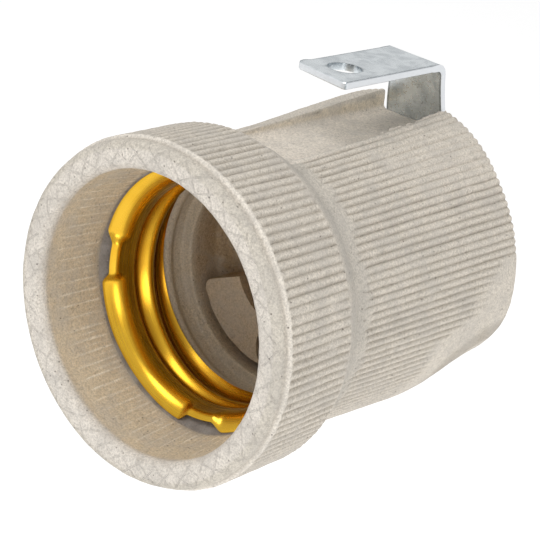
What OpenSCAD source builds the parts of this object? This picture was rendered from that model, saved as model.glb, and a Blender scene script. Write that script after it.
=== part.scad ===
// Ceramic E27 lampholder with a steel angle bracket.
// The parts are drawn about the lamp axis, which runs along +Y from the mouth at y = 0 to the
// rear face. place() then moves everything so that the origin is the centre of the bracket's
// hole, on the plate's upper face. Millimetres, +Z up.

/* [Ceramic body] */
// Length of the ceramic from rim to rear face
body_len = 42.2; // [40:0.1:44]
// Radius over the ribs of the front collar
collar_r = 18.4; // [17.8:0.1:19]
// Radius of the smooth lip in front of the ribs
lip_r = 18; // [17.6:0.1:18.2]
// Depth at which the collar starts to taper
collar_len = 10.4; // [9:0.1:11]
// Radius at the waist behind the collar
waist_r = 16.3; // [16:0.1:16.8]
// Depth of the waist
waist_y = 15; // [14:0.1:16]
// Radius of the ribbed body at the rear face
rear_r = 17.5; // [17:0.1:18]
// Radius of the mouth at the rim
mouth_r = 15.3; // [15:0.1:15.6]
// Radius of the rear wire chamber
chamber_r = 13.6; // [13:0.1:13.8]
// Height of the top channel's floor above the lamp axis
channel_z = 15; // [14.8:0.1:15.4]
// Width of the top channel
channel_w = 8.6; // [8:0.1:9]

/* [E27 thread] */
// Thread pitch of an E27 lamp cap
pitch = 3.63; // [3.6:0.01:3.65]
// Radius of the thread shell at its crests
crest_r = 12.25; // [12.2:0.01:12.3]
// Radius of the thread shell at its roots
root_r = 13.35; // [13.3:0.01:13.4]
// Sheet thickness of the thread shell
sheet_t = 0.3; // [0.25:0.01:0.32]

/* [Angle bracket] */
// Width of the steel strip
bracket_w = 7.8; // [7:0.1:8]
// Thickness of the steel strip
bracket_t = 0.8; // [0.8:0.1:1]
// Height of the plate's upper face above the lamp axis
plate_z = 22.8; // [21:0.1:24]
// Distance from the plate's free end to the back of the leg's foot
plate_len = 19.5; // [18:0.1:21]
// Angle by which the leg leans back from the bend down to the channel's floor
leg_lean = 12; // [0:0.5:14]
// Radius of the hole near the free end
hole_r = 1.9; // [1.7:0.05:2.4]
// Distance of the hole from the free end
hole_edge = 4; // [3.5:0.1:5]

/* [Terminals] */
// Radius of the M3 terminal screws
m3_r = 1.5; // [1.5:0.01:1.5]
// Height of the screw through the bracket's leg above the lamp axis
bolt_z = 8; // [8:0.1:8.4]

/* [Hidden] */
$fn = 96;
eps = 0.01;
fit = 0.05;

// Depths along the lamp axis
skirt_y = 8.2;
flare_len = 3.1;
first_crest_y = skirt_y + flare_len;
second_crest_y = first_crest_y + pitch;
ceramic_crest_y = 17.9;
ledge_y = 20.4;
ledge_step = 0.6;
floor_y = 25;
pad_y = ledge_y + ledge_step;
web_y = 29;
leg_y = body_len;
hole_y = leg_y + bracket_t - plate_len + hole_edge;

// Thread form
land = 0.8;
flare_r = 2.55;
flank = (pitch - 2 * land) / 2;
end_gap = 0.15;
ceramic_flank = 0.4;
shell_end_y = ceramic_crest_y - land / 2 - ceramic_flank - end_gap;

// Ceramic details
rim_round = 1.2;
lip_round = 0.8;
lip_len = 1.2;
lip_step = 0.4;
collar_round = 0.9;
waist_round = 2.6;
rear_round = 0.5;
skirt_r = 14.75;
skirt_end = 0.2;
ceramic_crest_r = 13;
ceramic_root_gap = 0.1;
socket_r = 12.05;
pad_r = 5.4;
pad_root = 0.5;
shell_gap = 0.06;
channel_y = 13.6;
notch_w = 5.6;
notch_len = 1.2;
boss_w = 10.8;
boss_z = 3.8;
chamber_top_z = 8.4;
pad_edge_angle = 202;
foot_y = 23.4;
foot_pocket_r = 3.4;
slot_in_r = 11.2;
slot_out_r = root_r + sheet_t + 0.9;
slot_relief = 0.3;
slot_front = 1.5;
slot_side_gap = 0.2;

// Knee of the leg, mitred corners and locating dimple of the bracket's plate
knee_z = channel_z + 0.1;
bend_steps = 8;
plate_corner = 0.8;
dimple_y = hole_y + 5.3;
dimple_r = 1.25;
dimple_depth = 0.15;

// Threaded fasteners
m3_bore_r = m3_r + fit;
m3_clear_r = m3_r + 0.25;
m3_head_r = 2.75;
m3_head_h = 1.8;
head_edge = 0.3;
slot_w = 0.8;
washer_t = 0.6;
washer_gap = 0.5;
washer_step = 0.2;
m4_r = 2;
m4_clear_r = 2.3;
m4_head_r = 3.5;
m4_head_h = 2.2;
soft_washer_t = 0.8;
lock_washer_t = 0.6;
lock_washer_r = 3.8;
lock_tooth = 0.6;
nut_h = 3.2;
nut_flats = 7;
bolt_end = 0.8;

// Places of the terminals, as [x, z] about the lamp axis
line_fix = [8.4, 0];
line_clamp = [8.4, 4];
neutral_fix = [2, -8.4];
strip_slot_angle = atan2(neutral_fix.y, neutral_fix.x);
neutral_clamp = [-4.6, -8.4];
block_t = 4;
block_margin = 2.6;
clamp_t = 1;
strip_t = 0.6;
strip_gap = 0.1;
strip_front = 2.6;
sheet_strip_t = 0.5;
strip_w = 4;
riser_w = 3.6;
tongue_t = 0.4;
tongue_w = 3.6;
hinge_x = 4.3;
hinge_y = floor_y - strip_t - strip_gap;
tongue_rise = 16;
tongue_len = 4.6;
button_r = 1.5;
button_h = 0.8;
dome_r = 2.4;
roll_r = 0.5;
rivet_r = 0.6;
rivet_head_r = 0.9;
rivet_head_h = 0.25;
strip_end = 2.6;
saddle_r = 0.35;
saddle_x = 2.1;

function arc(c, r, a0, a1, n) =
    [for (i = [0:n]) c + r * [cos(a0 + (a1 - a0) * i / n), sin(a0 + (a1 - a0) * i / n)]];

// One thread crest as a trapezium of [radius, depth], about depth y
function crest(y, grow) =
    [[root_r + grow, y - land / 2 - flank],
     [crest_r + grow, y - land / 2],
     [crest_r + grow, y + land / 2],
     [root_r + grow, y + land / 2 + flank]];

// The ceramic's own low crest behind the shell, wider than the shell's crests
function ceramic_crest() =
    [[ceramic_crest_r, ceramic_crest_y - land / 2],
     [ceramic_crest_r, ceramic_crest_y + land / 2],
     [root_r + ceramic_root_gap, ceramic_crest_y + land / 2 + ceramic_flank]];

// Flared lip that leads from the wide front edge to the end of the first crest
function flare(grow) = concat(
    arc([crest_r + flare_r + grow, first_crest_y - land / 2], flare_r, 254, 180, 6),
    [crest(first_crest_y, grow)[2], crest(first_crest_y, grow)[3]]);

// Puts a shape drawn about +Z onto the lamp axis
module along_axis() {
    rotate([-90, 0, 0]) children();
}

// Puts a shape drawn about +Z at [x, z] and depth y, pointing to the rear
module at(xz, y) {
    translate([xz.x, y, xz.y]) rotate([-90, 0, 0]) children();
}

module revolve(points) {
    along_axis() rotate_extrude() polygon(points);
}

module place() {
    translate([0, -hole_y, -plate_z]) children();
}

module body_outline() {
    revolve(concat(
        [[0, 0]],
        arc([lip_r - lip_round, lip_round], lip_round, -90, 0, 4),
        [[lip_r, lip_len], [collar_r, lip_len + lip_step]],
        arc([collar_r - collar_round, collar_len], collar_round, 0, 45, 3),
        arc([waist_r + waist_round, waist_y], waist_round, 225, 180, 3),
        arc([rear_r - rear_round, body_len - rear_round], rear_round, 0, 90, 5),
        [[0, body_len]]));
}

module socket_cavity() {
    grow = sheet_t + shell_gap;
    revolve(concat(
        [[0, -1], [mouth_r + rim_round, -1]],
        arc([mouth_r + rim_round, rim_round], rim_round, 270, 180, 6),
        [[skirt_r, skirt_y - skirt_end]],
        flare(grow),
        crest(second_crest_y, grow),
        [[root_r + grow, shell_end_y + end_gap],
         [root_r + ceramic_root_gap, shell_end_y + end_gap]],
        ceramic_crest(),
        [[root_r + ceramic_root_gap, ledge_y], [0, ledge_y]]));
    translate([0, ledge_y - eps, 0]) along_axis() cylinder(r = socket_r, h = floor_y - ledge_y + eps);
}

// Raised sector of the floor below the lamp axis, with radial ends and a hollow about the axis
module floor_pad() {
    reach = 3 * socket_r;
    end = reach * [cos(pad_edge_angle), sin(pad_edge_angle)];
    difference() {
        intersection() {
            translate([0, pad_y, 0]) along_axis() cylinder(r = socket_r + pad_root, h = floor_y - pad_y + eps);
            translate([0, body_len, 0]) rotate([90, 0, 0]) linear_extrude(body_len)
                polygon([[0, 0], end, [end.x, -reach], [-end.x, -reach], [-end.x, end.y]]);
        }
        translate([0, pad_y - 1, 0]) along_axis() cylinder(r = pad_r, h = floor_y);
    }
}

// Rear chamber for the wires and terminals, with a solid boss left above for the bracket
module wire_chamber() {
    difference() {
        translate([0, web_y, 0]) along_axis() cylinder(r = chamber_r, h = body_len - web_y + 1);
        translate([-boss_w / 2, web_y - 1, boss_z]) cube([boss_w, body_len, 2 * chamber_r]);
        translate([-chamber_r, web_y - 1, chamber_top_z]) cube([2 * chamber_r, body_len, chamber_r]);
    }
}

module top_channel() {
    translate([-channel_w / 2, channel_y, channel_z]) cube([channel_w, body_len, rear_r]);
}

// Slot in the thread, ledge and pad that the shell's contact strip and its screw lie in
module strip_slot() {
    slot_y = skirt_y + slot_front;
    slot_side = strip_w / 2 + slot_side_gap;
    rotate([0, -strip_slot_angle, 0]) translate([slot_in_r, slot_y, -slot_side])
        cube([slot_out_r - slot_in_r, foot_y + slot_relief - slot_y, 2 * slot_side]);
    at(neutral_fix, pad_y - 1) cylinder(r = foot_pocket_r, h = foot_y - pad_y + 1);
}

module porcelain_body() {
    color([0.80, 0.76, 0.70]) difference() {
        union() {
            difference() {
                body_outline();
                socket_cavity();
            }
            floor_pad();
        }
        wire_chamber();
        top_channel();
        strip_slot();
        at([0, bolt_z], floor_y - 1) cylinder(r = m4_clear_r, h = body_len);
        at(line_fix, floor_y - 1) cylinder(r = m3_clear_r, h = web_y - floor_y + 2);
        at(neutral_fix, foot_y - 1) cylinder(r = m3_clear_r, h = web_y - foot_y + 2);
    }
}

module shell_notch(a) {
    rotate([0, a, 0]) translate([crest_r, skirt_y - 1, -notch_w / 2])
        cube([root_r - crest_r + flare_r, notch_len + 1, notch_w]);
}

module lamp_thread_shell() {
    inner = concat(flare(0), crest(second_crest_y, 0), [[root_r, shell_end_y]]);
    color([0.85, 0.62, 0.13]) difference() {
        revolve(concat(inner, [for (i = [len(inner) - 1:-1:0]) inner[i] + [sheet_t, 0]]));
        for (a = [0:90:270]) shell_notch(a);
    }
}

// Side view of the bent strip as [depth, height]: plate, bend, leaning leg and upright foot
module bracket_outline() {
    inner_r = bracket_t;
    outer_r = inner_r + bracket_t;
    bend_z = plate_z - outer_r;
    lean_rise = bend_z + inner_r * sin(leg_lean) - knee_z;
    bend_y = leg_y - inner_r * cos(leg_lean) - lean_rise * tan(leg_lean);
    free_y = leg_y + bracket_t - plate_len;
    polygon(concat(
        [[free_y, plate_z - bracket_t], [free_y, plate_z]],
        arc([bend_y, bend_z], outer_r, 90, leg_lean, bend_steps),
        [[leg_y + bracket_t, knee_z + bracket_t * tan(leg_lean / 2)],
         [leg_y + bracket_t, bolt_z], [leg_y, bolt_z], [leg_y, knee_z]],
        arc([bend_y, bend_z], inner_r, leg_lean, 90, bend_steps)));
}

module mounting_bracket() {
    color([0.74, 0.77, 0.78]) difference() {
        union() {
            rotate([90, 0, 90]) translate([0, 0, -bracket_w / 2])
                linear_extrude(bracket_w) bracket_outline();
            at([0, bolt_z], leg_y) cylinder(r = bracket_w / 2, h = bracket_t);
        }
        translate([0, hole_y, plate_z - 2]) cylinder(r = hole_r, h = 4);
        at([0, bolt_z], leg_y - 1) cylinder(r = m4_clear_r, h = 4);
        translate([0, dimple_y, plate_z + dimple_r - dimple_depth]) rotate([90, 0, 0]) sphere(r = dimple_r);
        for (s = [-1, 1])
            translate([s * bracket_w / 2, hole_y - hole_edge, plate_z - bracket_t / 2])
                rotate(45) cube([plate_corner, plate_corner, 2 * bracket_t], center = true);
    }
}

// Slotted screw drawn about +Z: shank from z = 0 upwards, head below
module slotted_screw(r, length, head_r, head_h) {
    difference() {
        union() {
            cylinder(r = r, h = length);
            translate([0, 0, -head_h]) cylinder(r1 = head_r - head_edge, r2 = head_r, h = head_edge);
            translate([0, 0, head_edge - head_h]) cylinder(r = head_r, h = head_h - head_edge);
        }
        translate([-head_r, -slot_w / 2, -head_h - eps]) cube([2 * head_r, slot_w, head_h / 2]);
    }
}

module ring(r_out, r_in, h) {
    difference() {
        cylinder(r = r_out, h = h);
        translate([0, 0, -1]) cylinder(r = r_in, h = h + 2);
    }
}

module spring_washer() {
    difference() {
        ring(m3_head_r - washer_step, m3_clear_r, washer_t);
        translate([0, -washer_gap / 2, -1]) cube([m3_head_r, washer_gap, 2 + washer_t]);
    }
}

// Strip that lies on the floor under the screw and ends in a round groove for the tongue
module centre_contact_strip() {
    foot_x = line_fix.x + strip_end;
    color([0.80, 0.66, 0.32]) difference() {
        translate([hinge_x, floor_y - strip_t, line_fix.y - strip_w / 2])
            cube([foot_x - hinge_x, strip_t, strip_w]);
        translate([hinge_x, hinge_y, -strip_w]) cylinder(r = roll_r + fit, h = 3 * strip_w);
        at(line_fix, floor_y - 2) cylinder(r = m3_clear_r, h = 4);
    }
}

// Tongue that rises from its rolled root to the lamp axis
module centre_contact_spring() {
    color([0.78, 0.56, 0.30]) difference() {
        translate([hinge_x, hinge_y, line_fix.y - tongue_w / 2]) {
            cylinder(r = roll_r, h = tongue_w);
            rotate(180 + tongue_rise) translate([0, -tongue_t / 2, 0])
                cube([tongue_len + button_r, tongue_t, tongue_w]);
        }
        button_place() translate([0, 0, -2]) cylinder(r = rivet_r + fit, h = 4);
    }
}

// Frame of the contact button: +Z points along the tongue's face, towards the lamp
module button_place() {
    translate([hinge_x, hinge_y, line_fix.y]) rotate(180 + tongue_rise)
        translate([tongue_len, tongue_t / 2, 0]) rotate([-90, 0, 0]) children();
}

module centre_contact_button() {
    color([0.86, 0.86, 0.84]) button_place() {
        intersection() {
            cylinder(r = button_r, h = button_h + eps);
            translate([0, 0, button_h - dome_r]) rotate([90, 0, 0]) sphere(r = dome_r);
        }
        translate([0, 0, -tongue_t]) cylinder(r = rivet_r, h = tongue_t + eps);
        translate([0, 0, -tongue_t - rivet_head_h]) cylinder(r = rivet_head_r, h = rivet_head_h);
    }
}

module centre_contact_screw() {
    top_y = floor_y - strip_t - washer_t;
    color([0.72, 0.73, 0.74])
        at(line_fix, top_y) slotted_screw(m3_r, web_y + block_t - top_y, m3_head_r, m3_head_h);
}

module centre_contact_washer() {
    color([0.62, 0.63, 0.64]) at(line_fix, floor_y - strip_t - washer_t) spring_washer();
}

// Strip that runs behind the shell, then turns inwards to its screw in the pad's pocket
module shell_contact_strip() {
    wall_r = root_r + sheet_t + strip_gap;
    strip_y = skirt_y + strip_front;
    color([0.80, 0.66, 0.32]) difference() {
        union() {
            rotate([0, -strip_slot_angle, 0]) translate([wall_r, strip_y, -riser_w / 2])
                cube([sheet_strip_t, foot_y - strip_gap - strip_y, riser_w]);
            at(neutral_fix, foot_y - sheet_strip_t) linear_extrude(sheet_strip_t) {
                circle(r = m3_head_r);
                rotate(-strip_slot_angle) translate([0, -strip_w / 2])
                    square([wall_r + sheet_strip_t / 2 - norm(neutral_fix), strip_w]);
            }
        }
        at(neutral_fix, foot_y - 2) cylinder(r = m3_clear_r, h = 4);
    }
}

module shell_contact_screw() {
    top_y = foot_y - sheet_strip_t - washer_t;
    color([0.72, 0.73, 0.74])
        at(neutral_fix, top_y) slotted_screw(m3_r, web_y + block_t - top_y, m3_head_r, m3_head_h);
}

module shell_contact_washer() {
    color([0.62, 0.63, 0.64]) at(neutral_fix, foot_y - sheet_strip_t - washer_t) spring_washer();
}

// Brass block with one tapped hole for the fixing screw and one for the wire screw
module terminal_block(fix_at, clamp_at) {
    lo = [min(fix_at.x, clamp_at.x), min(fix_at.y, clamp_at.y)] - block_margin * [1, 1];
    hi = [max(fix_at.x, clamp_at.x), max(fix_at.y, clamp_at.y)] + block_margin * [1, 1];
    color([0.80, 0.66, 0.32]) difference() {
        translate([lo.x, web_y, lo.y]) cube([hi.x - lo.x, block_t, hi.y - lo.y]);
        at(fix_at, web_y - 1) cylinder(r = m3_bore_r, h = block_t + 2);
        at(clamp_at, web_y - 1) cylinder(r = m3_bore_r, h = block_t + 2);
    }
}

// Wire clamp: a square plate with a groove on each side of its screw for the wire
module clamp_plate(clamp_at) {
    y0 = web_y + block_t;
    color([0.74, 0.75, 0.76]) difference() {
        translate([clamp_at.x - block_margin, y0, clamp_at.y - block_margin])
            cube([2 * block_margin, clamp_t, 2 * block_margin]);
        at(clamp_at, y0 - 1) cylinder(r = m3_bore_r, h = clamp_t + 2);
        for (s = [-1, 1])
            translate([clamp_at.x + s * saddle_x, y0, clamp_at.y - block_t])
                cylinder(r = saddle_r, h = 2 * block_t);
    }
}

module terminal_screw(clamp_at) {
    y0 = web_y + block_t + clamp_t;
    color([0.72, 0.73, 0.74]) translate([clamp_at.x, y0, clamp_at.y]) rotate([90, 0, 0])
        slotted_screw(m3_r, block_t + clamp_t - head_edge, m3_head_r, m3_head_h);
}

module line_terminal_block() {
    terminal_block(line_fix, line_clamp);
}

module line_clamp_plate() {
    clamp_plate(line_clamp);
}

module line_terminal_screw() {
    terminal_screw(line_clamp);
}

module neutral_terminal_block() {
    terminal_block(neutral_fix, neutral_clamp);
}

module neutral_clamp_plate() {
    clamp_plate(neutral_clamp);
}

module neutral_terminal_screw() {
    terminal_screw(neutral_clamp);
}

module bracket_screw() {
    head_y = floor_y - soft_washer_t;
    end_y = leg_y + bracket_t + lock_washer_t + nut_h + bolt_end;
    color([0.72, 0.73, 0.74])
        at([0, bolt_z], head_y) slotted_screw(m4_r, end_y - head_y, m4_head_r, m4_head_h);
}

module bracket_screw_washer() {
    color([0.45, 0.30, 0.20]) at([0, bolt_z], floor_y - soft_washer_t)
        ring(m4_head_r + washer_step, m4_clear_r, soft_washer_t);
}

module bracket_lock_washer() {
    color([0.62, 0.63, 0.64]) at([0, bolt_z], leg_y + bracket_t) difference() {
        ring(lock_washer_r, m4_r + 3 * fit, lock_washer_t);
        for (a = [0:45:315])
            rotate(a) translate([lock_washer_r - lock_tooth, -lock_tooth / 2, -1]) cube([2, lock_tooth, 3]);
    }
}

module bracket_nut() {
    color([0.72, 0.73, 0.74]) at([0, bolt_z], leg_y + bracket_t + lock_washer_t) difference() {
        cylinder(d = nut_flats / cos(30), h = nut_h, $fn = 6);
        translate([0, 0, -1]) cylinder(r = m4_r + fit, h = nut_h + 2);
    }
}

place() porcelain_body();
place() lamp_thread_shell();
place() mounting_bracket();
place() centre_contact_strip();
place() centre_contact_spring();
place() centre_contact_button();
place() centre_contact_screw();
place() centre_contact_washer();
place() shell_contact_strip();
place() shell_contact_screw();
place() shell_contact_washer();
place() line_terminal_block();
place() line_clamp_plate();
place() line_terminal_screw();
place() neutral_terminal_block();
place() neutral_clamp_plate();
place() neutral_terminal_screw();
place() bracket_screw();
place() bracket_screw_washer();
place() bracket_lock_washer();
place() bracket_nut();
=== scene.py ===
"""Ceramic E27 lampholder with its angle bracket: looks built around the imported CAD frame.

Shapes are worked out in the lamp frame: millimetres, the lamp axis along +Y, the mouth at
y = 0, +Z up, angles from +X towards +Z. lamp_to_row() moves them into the row frame.
"""

import math

import bmesh
import bpy
import numpy as np
from mathutils import Matrix, Vector


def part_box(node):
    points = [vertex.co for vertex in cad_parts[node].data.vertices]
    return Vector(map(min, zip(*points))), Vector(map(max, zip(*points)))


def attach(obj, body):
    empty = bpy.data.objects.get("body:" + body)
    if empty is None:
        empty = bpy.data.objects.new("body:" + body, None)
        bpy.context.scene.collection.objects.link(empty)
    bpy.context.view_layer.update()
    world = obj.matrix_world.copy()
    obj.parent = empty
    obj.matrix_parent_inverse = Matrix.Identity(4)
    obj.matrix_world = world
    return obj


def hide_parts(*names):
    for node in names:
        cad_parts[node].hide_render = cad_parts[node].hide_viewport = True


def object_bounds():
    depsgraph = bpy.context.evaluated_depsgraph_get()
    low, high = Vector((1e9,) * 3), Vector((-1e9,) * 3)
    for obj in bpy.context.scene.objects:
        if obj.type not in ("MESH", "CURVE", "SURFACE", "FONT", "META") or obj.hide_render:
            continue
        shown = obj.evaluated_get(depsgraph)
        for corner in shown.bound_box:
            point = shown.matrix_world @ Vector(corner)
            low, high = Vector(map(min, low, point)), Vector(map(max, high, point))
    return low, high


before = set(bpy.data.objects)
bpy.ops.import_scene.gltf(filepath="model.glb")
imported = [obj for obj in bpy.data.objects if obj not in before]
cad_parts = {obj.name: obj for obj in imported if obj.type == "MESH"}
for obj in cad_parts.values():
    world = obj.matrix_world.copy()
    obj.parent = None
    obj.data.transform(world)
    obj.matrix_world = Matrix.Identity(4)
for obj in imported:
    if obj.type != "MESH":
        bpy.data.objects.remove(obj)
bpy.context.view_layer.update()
scene = bpy.context.scene

MM = 0.001
PI2 = 2 * math.pi

# ---------------------------------------------------------------- camera
# Place in metres in the row frame, angles in degrees, lens and sensor in millimetres
CAMERA_PLACE = Vector((0.10701, -0.14691, 0.04758))
CAMERA_AZIMUTH = 38.053
CAMERA_ELEVATION = 21.028
CAMERA_ROLL = 8.313
CAMERA_PAN = 0.383913
CAMERA_TILT = 0.600466
CAMERA_LENS = 116.42
CAMERA_SENSOR = 36
CAMERA_NEAR = 0.01


def make_camera():
    """Camera that looks down on the mouth's right side, rolled and aimed as the angles say."""
    azimuth, elevation = math.radians(CAMERA_AZIMUTH), math.radians(CAMERA_ELEVATION)
    back = Vector((math.sin(azimuth) * math.cos(elevation),
                   -math.cos(azimuth) * math.cos(elevation),
                   math.sin(elevation)))
    right = (-back).cross(Vector((0, 0, 1))).normalized()
    up = right.cross(-back)
    turn = math.radians(CAMERA_ROLL)
    right, up = (math.cos(turn) * right + math.sin(turn) * up,
                 math.cos(turn) * up - math.sin(turn) * right)
    aim = (-back + right * math.tan(math.radians(CAMERA_PAN))
           - up * math.tan(math.radians(CAMERA_TILT))).normalized()
    right = (right - aim * right.dot(aim)).normalized()
    up = right.cross(aim)
    camera = bpy.data.objects.new("camera", bpy.data.cameras.new("camera"))
    camera.matrix_world = Matrix.Translation(CAMERA_PLACE) @ Matrix(
        (right, up, -aim)).transposed().to_4x4()
    camera.data.sensor_width = CAMERA_SENSOR
    camera.data.lens = CAMERA_LENS
    camera.data.clip_start = CAMERA_NEAR
    scene.collection.objects.link(camera)
    scene.camera = camera


make_camera()

# ---------------------------------------------------------------- the lamp frame, from the CAD
body_lo, body_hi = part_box("porcelain_body")
bracket_lo, bracket_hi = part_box("mounting_bracket")
shell_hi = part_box("lamp_thread_shell")[1]
COLLAR_R = (body_hi.x - body_lo.x) / 2 / MM
BODY_LEN = (body_hi.y - body_lo.y) / MM
AXIS = Vector(((body_lo.x + body_hi.x) / 2, body_lo.y, body_lo.z + COLLAR_R * MM))


def lamp_to_row(points):
    """Millimetres in the lamp frame to metres in the row frame."""
    return np.asarray(points, float) * MM + np.array(AXIS)


def row_to_lamp(points):
    """Metres in the row frame to millimetres in the lamp frame."""
    return (np.asarray(points, float) - np.array(AXIS)) / MM


# ---------------------------------------------------------------- numbers that shape the object
# Rim, with a narrower lip in front of the collar's ribs
LIP_R = COLLAR_R - 0.4
LIP_ROUND = 0.8
RIM_ROUND = 1.05
MOUTH_R = 15.0

# Skirt from the rim down to the seat in front of the shell
SKIRT_R = 14.38
SKIRT_Y = 8.25
SKIRT_RIDGES = 138
SKIRT_RIDGE_H = 0.15

# Collar, waist and rear body
COLLAR_LEN = 10.4
WAIST_R = 16.3
WAIST_Y = 15
WAIST_FRONT_Y = WAIST_Y - 1.5
REAR_R = COLLAR_R - 0.9
REAR_ROUND = 0.45
REAR_CUT = 1.8
REAR_BULGE = 0.5
REAR_FACE_HOLLOW = 0.05

# Ribs: depths in millimetres, the rear ribs' offset in rib widths, mesh columns to a rib
RIBS = 126
RIB_DEPTH = 0.22
RIB_COLUMNS = 5
COLLAR_RIB_START = 1.62
REAR_RIB_START = 15.9
REAR_RIB_OFFSET = 0.3

# Thread shell: crest and root are inner radii, FLARE_END is the angle where the lip stops
PITCH = 3.63
CREST_R = 12.25
ROOT_R = 13.35
HELIX_Y = 14.4
HELIX_ANGLE = 190
SHEET_T = 0.3
FLARE_R = 2.55
FLARE_END = 75
FLARE_CREST_Y = 10.95
SHELL_FRONT_Y = 8.48
SHELL_END_Y = shell_hi.y / MM - AXIS.y / MM
SHELL_GAP = 0.14
SHELL_COLUMNS = 432
TAB_ANGLES = (0, 100, 180, 280)
TAB_HALF = 10.5
TAB_PRESS = 1.25
DENT_ANGLE = 238
DENT_DEPTH = 0.25

# Socket behind the shell: a round ridge, a ledge and the floor
SEAT_FRONT_Y = 8.62
RIDGE_Y = 17.9
RIDGE_R = 13.0
LEDGE_Y = 20.4
SOCKET_R = 12.1
SOCKET_ROUND = 0.7
FLOOR_Y = 25

# Pad raised on the floor: a sector whose two ends are rounded about (x, z) and its mirror place
PAD_Y = 21.04
PAD_OUTER_R = 10.9
PAD_INNER_R = 5.4
PAD_END = (8.9, -4.5)
PAD_END_R = 0.8

# Slot for the shell's contact strip: radii, depths and half width
SLOT_R = (11.2, 14.55)
SLOT_Y = (9.7, 23.7)
SLOT_HALF = 2.2

# Channel along the top of the waist and the rear body
CHANNEL_HALF = 4.3
CHANNEL_Z = 15
CHANNEL_Y = 13.6
CHANNEL_TOP = 19.5
CHANNEL_ROUND_FAR = 0.7
CHANNEL_ROUND_NEAR = 0.5

# Wire chamber behind the web, and the bores through the web at their (x, z) places
CHAMBER_R = 13.6
CHAMBER_TOP = 8.4
CHAMBER_ROUND = 0.6
WEB_Y = 29
BOSS_HALF = 5.4
BOSS_Z = 3.8
LINE_BORE = (8.4, 0)
NEUTRAL_BORE = (2, -8.4)
BRACKET_BORE = (0, 8)
CONTACT_BORE_R = 1.75
BRACKET_BORE_R = 2.3
BORE_FRONT_Y = 24
RECESS_R = 3.4
RECESS_END_Y = 23.4
RECESS_BORE_FRONT_Y = 22.6

# Angle bracket: LEAN in degrees, the skews are across the strip's whole width
STRIP_LO = row_to_lamp(np.array(bracket_lo))
STRIP_HI = row_to_lamp(np.array(bracket_hi))
STRIP_HALF = (STRIP_HI[0] - STRIP_LO[0]) / 2
STRIP_T = 0.8
STRIP_CORNER = 0.5
STRIP_EDGE = 0.12
STRIP_THINNING = 0.08
STRIP_COLUMNS = 31
PLATE_Z = STRIP_HI[2]
FREE_Y = STRIP_LO[1]
BOLT_Z = STRIP_LO[2] + STRIP_HALF
BOLT_R = 2.25
KNEE_Z = CHANNEL_Z + 0.1
LEAN = 12
HOLE_Y = -AXIS.y / MM
HOLE_R = 1.9
DIMPLE_Y = HOLE_Y + 5.3
BURR_Y = FREE_Y + 1.6
FREE_SKEW = 1.57
BEND_SKEW = 0.84
BEND_FRONT_Y = 39

# ---------------------------------------------------------------- numpy helpers
LATTICE_SIZE = 48
LATTICE = np.random.default_rng(27).random((LATTICE_SIZE, LATTICE_SIZE, LATTICE_SIZE)) * 2 - 1


def smooth(start, end, x):
    """0 at start and before it, 1 at end and after it, with a smooth step between."""
    t = np.clip((x - start) / (end - start), 0, 1)
    return t * t * (3 - 2 * t)


def noise(p, scale, octaves, seed):
    """Smooth value noise from -1 to 1 at points p (..., 3), with features of about scale."""
    total = 0
    weight = 0
    for octave in range(octaves):
        q = p * (2 ** octave / scale) + 7.31 * octave + 3.17 * seed
        i = np.floor(q).astype(int)
        f = q - i
        f = f * f * (3 - 2 * f)
        value = 0
        for corner in range(8):
            d = [(corner >> k) & 1 for k in range(3)]
            w = 1
            for k in range(3):
                w = w * (f[..., k] if d[k] else 1 - f[..., k])
            value = value + w * LATTICE[(i[..., 0] + d[0]) % LATTICE_SIZE,
                                        (i[..., 1] + d[1]) % LATTICE_SIZE,
                                        (i[..., 2] + d[2]) % LATTICE_SIZE]
        total = total + value * 0.5 ** octave
        weight += 0.5 ** octave
    return total / weight


def polar(r, y, theta):
    """Points (..., 3) in the lamp frame from radius, depth and angle in radians."""
    return np.stack([r * np.cos(theta), y + 0 * theta, r * np.sin(theta)], -1)


def sweep(path, theta):
    """Radius, depth, angle and points of a (radius, depth) path turned through theta."""
    path = np.array(path)
    r = path[:, :1] + 0 * theta
    y = path[:, 1:] + 0 * theta
    t = theta + 0 * y
    return r, y, t, polar(r, y, t)


def arc(cx, cy, r, a0, a1, steps):
    """Points of an arc about (cx, cy) from a0 to a1 in degrees."""
    t = np.radians(np.linspace(a0, a1, steps + 1))
    return [(cx + r * math.cos(a), cy + r * math.sin(a)) for a in t]


def run(r0, y0, r1, y1, step):
    """Points from (r0, y0) to (r1, y1), about step apart, without the first one."""
    n = max(1, round(math.hypot(r1 - r0, y1 - y0) / step))
    return [(r0 + (r1 - r0) * k / n, y0 + (y1 - y0) * k / n) for k in range(1, n + 1)]


def angle_from(theta, centre):
    """Signed difference in degrees between theta (radians) and centre (degrees)."""
    return (np.degrees(theta) - centre + 180) % 360 - 180


def mesh_object(name, points, faces):
    """New object from points in the lamp frame."""
    mesh = bpy.data.meshes.new(name)
    mesh.from_pydata(lamp_to_row(points).tolist(), [], faces)
    mesh.validate()
    obj = bpy.data.objects.new(name, mesh)
    scene.collection.objects.link(obj)
    return obj


def lamp_points(mesh):
    """The mesh's vertices in the lamp frame."""
    places = np.zeros(len(mesh.vertices) * 3, np.float32)
    mesh.vertices.foreach_get("co", places)
    return row_to_lamp(places.reshape(-1, 3))


def mark(mesh, name, values):
    """Stores one number for each vertex, for the materials to read."""
    attribute = mesh.attributes.new(name, "FLOAT", "POINT")
    attribute.data.foreach_set("value", values.astype(np.float32))


def shade(obj, degrees):
    """Smooth shading, with edges sharper than the angle left sharp."""
    obj.data.shade_smooth()
    obj.data.set_sharp_from_angle(angle=math.radians(degrees))


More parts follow.
